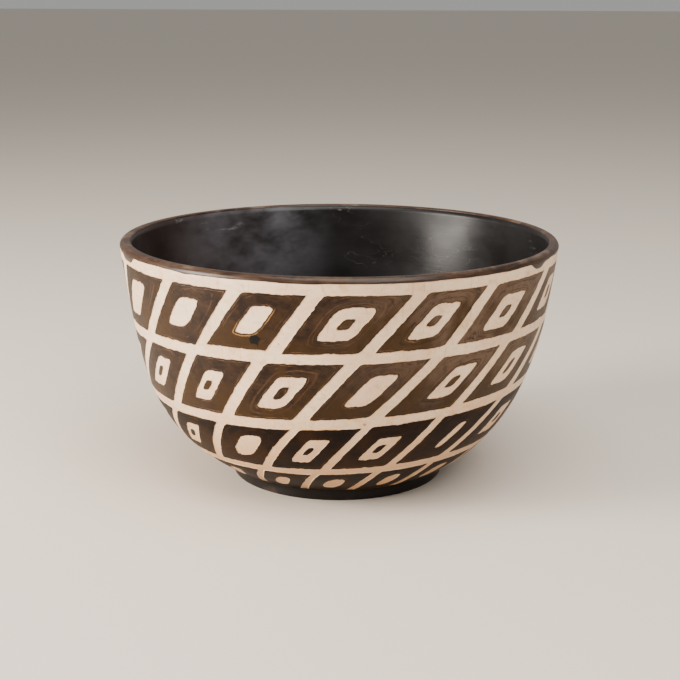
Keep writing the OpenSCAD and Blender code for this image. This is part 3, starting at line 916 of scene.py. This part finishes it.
footRadius, footEdge = bowlShape["footRadius"], bowlShape["footEdge"]
hollowRadius = footRadius - bowlShape["ringWidth"]
turnedMarks = [np.array([hollowRadius * s, bowlShape["hollow"] + 0.12 * mm * math.sin(s * 41)])
    for s in np.linspace(0.04, 0.97, 34)]
woodProfile = [np.array([0, bowlShape["hollow"]])] + turnedMarks
woodProfile += [np.array([hollowRadius - 0.4 * mm, bowlShape["hollow"] - 0.1 * mm]),
    np.array([hollowRadius, bowlShape["hollow"] - 0.5 * mm]), np.array([hollowRadius, 0.5 * mm]),
    np.array([hollowRadius + 0.5 * mm, 0])]
woodProfile += arcLine((footRadius - footEdge, footEdge), footEdge, -90, 0, 6)
woodProfile += wallLine(bowlShape["footHeight"], rimPoint[1], 48)
woodProfile += lipLine()[1:]
woodProfile += insideLine()[1:]
bowlWood = turnedPiece("bowlWood", woodProfile, {"Segments": 384, "Material": bareWood})
giveTree(bowlWood, carvedTree, carving)
settle(bowlWood, ["wave"])
print("wood turned", len(bowlWood.data.polygons))


# the black lining inside

lining = {"thickness": 0.4 * mm, "segments": 420}
outerSide, innerSide = insideLine(0.02 * mm), insideLine(lining["thickness"])
liningProfile = outerSide[::-1] + innerSide
insideLining = turnedPiece("insideLining", liningProfile, {"Segments": lining["segments"], "Material": blackPolish})
giveTree(insideLining, carvedTree, carving)
settle(insideLining, ["wave"])
print("lining laid", len(insideLining.data.polygons))


# the brown stain over the lip, with drips on its lower edge

rimBand = {"over": 0.4 * mm, "under": 0.14 * mm, "wave": 2.0 * mm, "drip": 3.6 * mm, "scale": 5.5, "seed": 4.2,
    "segments": 720, "edgeAngle": 2, "bodyAngle": 22}


def edgeSteps(lift):
    return arcLine(lipC, bowlShape["lipRound"] + lift, rimBand["edgeAngle"], rimBand["bodyAngle"], 3)[:-1]


rimProfile = edgeSteps(rimBand["over"])
rimProfile += lipLine(rimBand["over"], rimBand["bodyAngle"])
rimProfile += lipLine(rimBand["under"], rimBand["bodyAngle"])[::-1]
rimProfile += edgeSteps(rimBand["under"])[::-1]
rimProfile += [rimProfile[0]]
rimWaves = [(0, 0, 0)] * len(rimProfile)
slope = (outward(rimLean)[1], -outward(rimLean)[0])
# share of the drip, and how far it moves out as it runs down the round
dripSteps = ((1, 0.05), (0.85, 0.11), (0.5, 0.30))
for i, step in ((0, 0), (1, 1), (2, 2), (-2, 0), (-3, 1), (-4, 2), (-1, 0)):
    share, out = dripSteps[step]
    rimWaves[i] = (share, slope[0] + out * outward(rimLean)[0], slope[1] + out * outward(rimLean)[1])
rimValues = {"Segments": rimBand["segments"], "Edge Wave": rimBand["wave"], "Drip": rimBand["drip"],
    "Wave Scale": rimBand["scale"], "Seed": rimBand["seed"], "Material": rimStain}
rimCoat = turnedPiece("rimCoat", rimProfile, rimValues, rimWaves)
giveTree(rimCoat, carvedTree, carving)
settle(rimCoat, ["wave"])
print("rim stained", len(rimCoat.data.polygons))


# the black stain round the foot

footBand = {"over": 0.4 * mm, "under": 0.05 * mm, "extra": 0.2 * mm, "startAngle": -42, "wave": 1.6 * mm,
    "scale": 7.0, "seed": 9.1, "segments": 480}
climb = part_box("foot_band")[1].z - bowlShape["footHeight"] + footBand["extra"]


def footLine(lift):
    line = arcLine((footRadius - footEdge, footEdge), footEdge + lift, footBand["startAngle"], 0, 5)
    line += [np.array([footRadius + lift, bowlShape["footHeight"] * s]) for s in (0.5, 0.85)]
    line += [wallPoint(bowlShape["footHeight"] + climb * s, lift) for s in (0.25, 0.6, 0.8, 1.0)]
    return line


footProfile = footLine(footBand["over"]) + footLine(footBand["under"])[::-1]
footProfile += [footProfile[0]]
along = outward(leanAt(bowlShape["footHeight"] + climb)[0])
footWaves = [(0, 0, 0)] * len(footProfile)
count = len(footLine(0))
for i, share in ((count - 1, 1), (count - 2, 0.8), (count, 1), (count + 1, 0.8)):
    footWaves[i] = (share * 0.5, -along[1], along[0])
footCoat = turnedPiece("footCoat", footProfile,
    {"Segments": footBand["segments"], "Edge Wave": footBand["wave"], "Wave Scale": footBand["scale"],
    "Seed": footBand["seed"], "Material": footBlack}, footWaves)
giveTree(footCoat, carvedTree, carving)
settle(footCoat, ["wave"])
print("foot stained", len(footCoat.data.polygons))


# the pale ground

groundLow, groundHigh = bowlShape["footHeight"] + 0.6 * mm, rimPoint[1] - 0.3 * mm
ground = {"over": 0.3 * mm, "overLip": 0.22 * mm, "under": 0.02 * mm, "topAngle": 24, "segments": 640}
topRound = [arcLine(lipC, bowlShape["lipRound"] + lift, -rimLean, ground["topAngle"],
    5) for lift in (ground["overLip"], ground["under"])]
groundProfile = wallLine(groundLow, groundHigh, 72, ground["over"]) + topRound[0]
groundProfile += topRound[1][::-1] + wallLine(groundLow, groundHigh, 36, ground["under"])[::-1]
groundProfile += [groundProfile[0]]
paleGround = turnedPiece("paleGround", groundProfile, {"Segments": ground["segments"], "Material": paleSatin})
giveTree(paleGround, carvedTree, carving)
settle(paleGround, ["wave"])
print("ground laid", len(paleGround.data.polygons))


# the rows of lozenges. Bars lean to the right going up; angles are in degrees, to the right of the front

columns = 16
pitch = 360 / columns
lozengeRows = [
    {
        "topBars": -4, "lowBars": -14, "barWidth": 7.9, "eye": (0.375, 0.545), "dot": (0.44, 0.44), "sharp": 6.5,
        "topDrift": {-2: 4, -1: 2, 0: -1.3, 1: 0.9, 2: -1.8, 3: 1},
        "lowDrift": {-2: 0.8, -1: 0.1, 0: -1.9, 1: -2.1, 2: -3, 3: -2.1},
        "topTilt": 0, "lowTilt": 3.4, "lowLift": {-1: 1.8}, "plain": [-3, -2, -1, 5, 8], "top": 1.0,
    },
    {
        "topBars": -19, "lowBars": -32.5, "barWidth": 7.2, "eye": (0.355, 0.545), "dot": (0.40, 0.48), "sharp": 6.5,
        "topDrift": {-2: 3.8, -1: 1.4, 0: -0.6, 1: 0, 2: -1, 3: -1, 4: -0.5},
        "lowDrift": {-1: 3.1, 0: 1, 1: 0, 2: -2.3, 3: -0.8},
        "topTilt": 3.4, "topLift": {-1: 1.0, 0: 0.5}, "lowTilt": 5.6, "plain": [1, 5, 12],
    },
    {
        "topBars": -36.5, "lowBars": -48.5, "barWidth": 5.0, "eye": (0.325, 0.50), "dot": (0.44, 0.46), "sharp": 7.0,
        "topDrift": {-1: 3.5, 0: 2.2, 1: 2.9, 2: 0, 3: -1, 4: 0.5},
        "lowDrift": {-1: 2, 0: 3.8, 1: 2, 2: -0.2, 3: -0.8, 4: -3.5},
        "topTilt": 5.6, "lowTilt": 4.0, "plain": [0, 3, 8, 9, 13],
    },
    {
        "topBars": -53.5, "lowBars": -63, "barWidth": 3.7, "eye": (0.31, 0.44), "dot": None, "sharp": 2.7,
        "topDrift": {1: 3.8, 2: 1.5, 3: 1, 4: -1}, "lowDrift": {1: 3, 2: 1.7, 3: 1.5, 4: 0},
        "topTilt": 4.0, "lowTilt": 0, "rise": -0.5, "plain": list(range(16)),
    },
]
# eyes that differ most from the rest: shift across, shift up, width, height, sharpness
oddEyes = {
    (0, 0): (0.02, 0.04, 1.15, 0.97, 4.5),
    (0, -1): (-0.02, 0.06, 0.86, 0.84, 7.0),
    (0, -2): (-0.06, 0.04, 1.0, 0.86, 4.5),
    (0, -3): (-0.05, 0.0, 1.0, 1.05, 7.0),
    (0, 2): (-0.04, -0.08, 1.1, 1.02, 8.0),
    (1, 1): (0.10, 0.02, 1.08, 0.92, 5.5),
    (1, 2): (0.14, 0.03, 1.0, 0.92, 8.0),
    (1, 0): (0.0, -0.02, 1.12, 0.98, 5.0),
    (2, 3): (0.12, 0.02, 0.42, 0.88, 3.6),
    (2, 2): (0.0, -0.06, 1.05, 0.9, 9.0),
    (2, 0): (0.08, 0.04, 1.12, 1.0, 3.0),
}
frameCut = {"Around": 200, "Across": 20, "Under": 0.16 * mm, "Over": 0.4 * mm, "Corner Sharpness": 26.0,
    "Wobble": 0.06, "Jagged": 0.035}
dotCut = {"Around": 48, "Across": 14, "Under": 0.16 * mm, "Over": 0.4 * mm, "Corner Sharpness": 3.2,
    "Wobble": 0.05, "Jagged": 0.02}
cellFacts = ["topSides", "lowSides", "topHeights", "lowHeights", "eyeMiddle", "eyeSize", "dotSize"]
dice = np.random.default_rng(71)


def barAngle(index, k, high):
    row = lozengeRows[index]
    known = row["topDrift" if high else "lowDrift"]
    signed = k if k < columns - 3 else k - columns
    drift = known.get(signed, known.get(signed - columns, None))
    if drift is None:
        drift = hiddenDrift[(index, high, k % columns)]
    return (row["topBars"] if high else row["lowBars"]) + pitch * k + drift


hiddenDrift = {(index, high, k): dice.uniform(-1.6, 1.6)
    for index in range(len(lozengeRows)) for high in (True, False) for k in range(columns)}


def cellsOf(index, row, low, high):
    cells = []
    for k in range(-3, columns - 3):
        facts = {}
        for side, z, isTop in (("top", high, True), ("low", low, False)):
            tilt = row[side + "Tilt"] * mm
            radius = wallPoint(z)[0]
            half = math.degrees(row["barWidth"] * mm / 2 / radius)
            left = barAngle(index, k, isTop) + half * dice.uniform(0.85, 1.15)
            nextBar = barAngle(index, k + 1, isTop) if k + 1 < columns - 3 else barAngle(index, -3, isTop) + 360
            right = nextBar - half * dice.uniform(0.85, 1.15)
            lift = row.get(side + "Lift", {}).get(k, 0) * mm
            heights = [z + lift + tilt * math.sin(math.radians(a)) + dice.uniform(-0.35, 0.35) * mm
                for a in (left, right)]
            facts[side + "Sides"] = (math.radians(left), math.radians(right), (k + 3) + 0.37 * index)
            facts[side + "Heights"] = (heights[0], heights[1], 0)
        odd = oddEyes.get((index, k),
            (dice.uniform(-0.04, 0.04), dice.uniform(-0.03, 0.03), dice.uniform(0.9, 1.08),
            dice.uniform(0.92, 1.06), row["sharp"] + dice.uniform(-0.4, 0.8)))
        facts["eyeMiddle"] = (odd[0], odd[1], odd[4])
        facts["eyeSize"] = (row["eye"][0] * odd[2], row["eye"][1] * odd[3], 0)
        if row["dot"]:
            facts["dotSize"] = (row["dot"][0] * facts["eyeSize"][0] * dice.uniform(0.85, 1.15),
                row["dot"][1] * facts["eyeSize"][1] * dice.uniform(0.85, 1.15), dice.uniform(-0.03, 0.03))
        else:
            facts["dotSize"] = (0.1, 0.1, 0)
        facts["plain"] = k in row["plain"]
        cells.append(facts)
    return cells


def lozengePiece(name, cells, tree, cut, seed, material):
    obj = newObject(name, [(0, 0, 0)] * len(cells))
    for fact in cellFacts:
        layer = obj.data.attributes.new(fact, "FLOAT_VECTOR", "POINT")
        for cell, data in zip(cells, layer.data):
            data.vector = cell[fact]
    giveTree(obj, tree, {**cut, "Seed": seed, "Material": material})
    giveTree(obj, carvedTree, carving)
    return settle(obj, cellFacts + ["spot"])


rowPieces = []
for index, row in enumerate(lozengeRows):
    node = f"row_{index + 1}_frames"
    low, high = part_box(node)
    cells = cellsOf(index, row, low.z + row.get("rise", -0.3) * mm, high.z + row.get("top", 0.25) * mm)
    # the lower two rows take the darker copy, which holds painted shade as well as the darker stain
    material = brownStain if index < 2 else darkStainAndShade
    slotName = "brown_stain" if index < 2 else "dark_stain"
    piece = lozengePiece(f"row{index + 1}Frames", cells, frameTree, frameCut, 11.0 + index, material)
    rowPieces.append((piece, node, slotName))
    if row["dot"]:
        dotted = [cell for cell in cells if not cell["plain"]]
        piece = lozengePiece(f"row{index + 1}Dots", dotted, dotTree, dotCut, 31.0 + index, material)
        rowPieces.append((piece, f"row_{index + 1}_dots", slotName))
    print("row", index + 1, "laid", len(piece.data.polygons))


# every piece rides on the bowl and takes the place of its CAD node

pieces = [
    (bowlWood, "carved_bowl", "bare_wood"),
    (insideLining, "black_lining", "black_polish"),
    (rimCoat, "rim_band", "rim_stain"),
    (footCoat, "foot_band", "black_foot"),
    (paleGround, "white_ground", "pale_ground"),
] + rowPieces
for piece, node, slotName in pieces:
    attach(piece, "root")
    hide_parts(node)
print("pieces placed")


# floor, lights and camera

floorLook = {"size": 60.0, "colour": rgb(0.74, 0.66, 0.56), "roughness": 0.6}
half = floorLook["size"] / 2
floor = newObject("floor", [(-half, -half, 0), (half, -half, 0), (half, half, 0), (-half, half, 0)],
    faces=[(0, 1, 2, 3)])
floorPaint, tree, shader, place = newFinish("paleFloor", floorLook["roughness"])
shader.inputs["Base Color"].default_value = floorLook["colour"]
floor.data.materials.append(floorPaint)

lampTarget = (0, 0, 0.08)
lamps = [
    # name, place, size, power, colour
    ("window", (-1.40, -0.47, 0.50), (0.55, 0.9), 64.0, (1.0, 0.93, 0.86)),
    ("overhead", (0.1, -0.5, 1.8), (1.6, 1.2), 33.0, (1.0, 0.97, 0.93)),
    ("frontFill", (0.8, -1.4, 1.5), (1.2, 0.9), 24.0, (1.0, 0.96, 0.92)),
]
for name, place, size, power, colour in lamps:
    light = bpy.data.lights.new(name, "AREA")
    light.shape = "RECTANGLE"
    light.size, light.size_y = size
    light.energy = power
    light.color = colour
    lamp = bpy.data.objects.new(name, light)
    lamp.location = place
    lamp.rotation_euler = (Vector(lampTarget) - Vector(place)).to_track_quat("-Z", "Y").to_euler()
    bpy.context.scene.collection.objects.link(lamp)

room = {"colour": rgb(0.93, 0.92, 0.90), "strength": 0.40}
world = bpy.data.worlds.new("paleRoom")
bpy.context.scene.world = world
world.use_nodes = True
world.node_tree.nodes["Background"].inputs["Color"].default_value = room["colour"]
world.node_tree.nodes["Background"].inputs["Strength"].default_value = room["strength"]

shot = {"distance": 0.9, "elevation": 14.82, "aim": (0, 0, 0.075), "lens": 72.16, "shiftX": 0.0017,
    "shiftY": 0.0239, "roll": 0.0040}
lens = bpy.data.cameras.new("camera")
lens.lens, lens.sensor_width = shot["lens"], 36.0
lens.shift_x, lens.shift_y = shot["shiftX"], shot["shiftY"]
camera = bpy.data.objects.new("camera", lens)
tilt = math.radians(shot["elevation"])
back = Vector((0, -math.cos(tilt), math.sin(tilt)))
turned = (-back).to_track_quat("-Z", "Y").to_matrix().to_4x4() @ Matrix.Rotation(shot["roll"], 4, "Z")
camera.matrix_world = Matrix.Translation(Vector(shot["aim"]) + back * shot["distance"]) @ turned
bpy.context.scene.collection.objects.link(camera)
bpy.context.scene.camera = camera
print("floor, lights and camera ready")
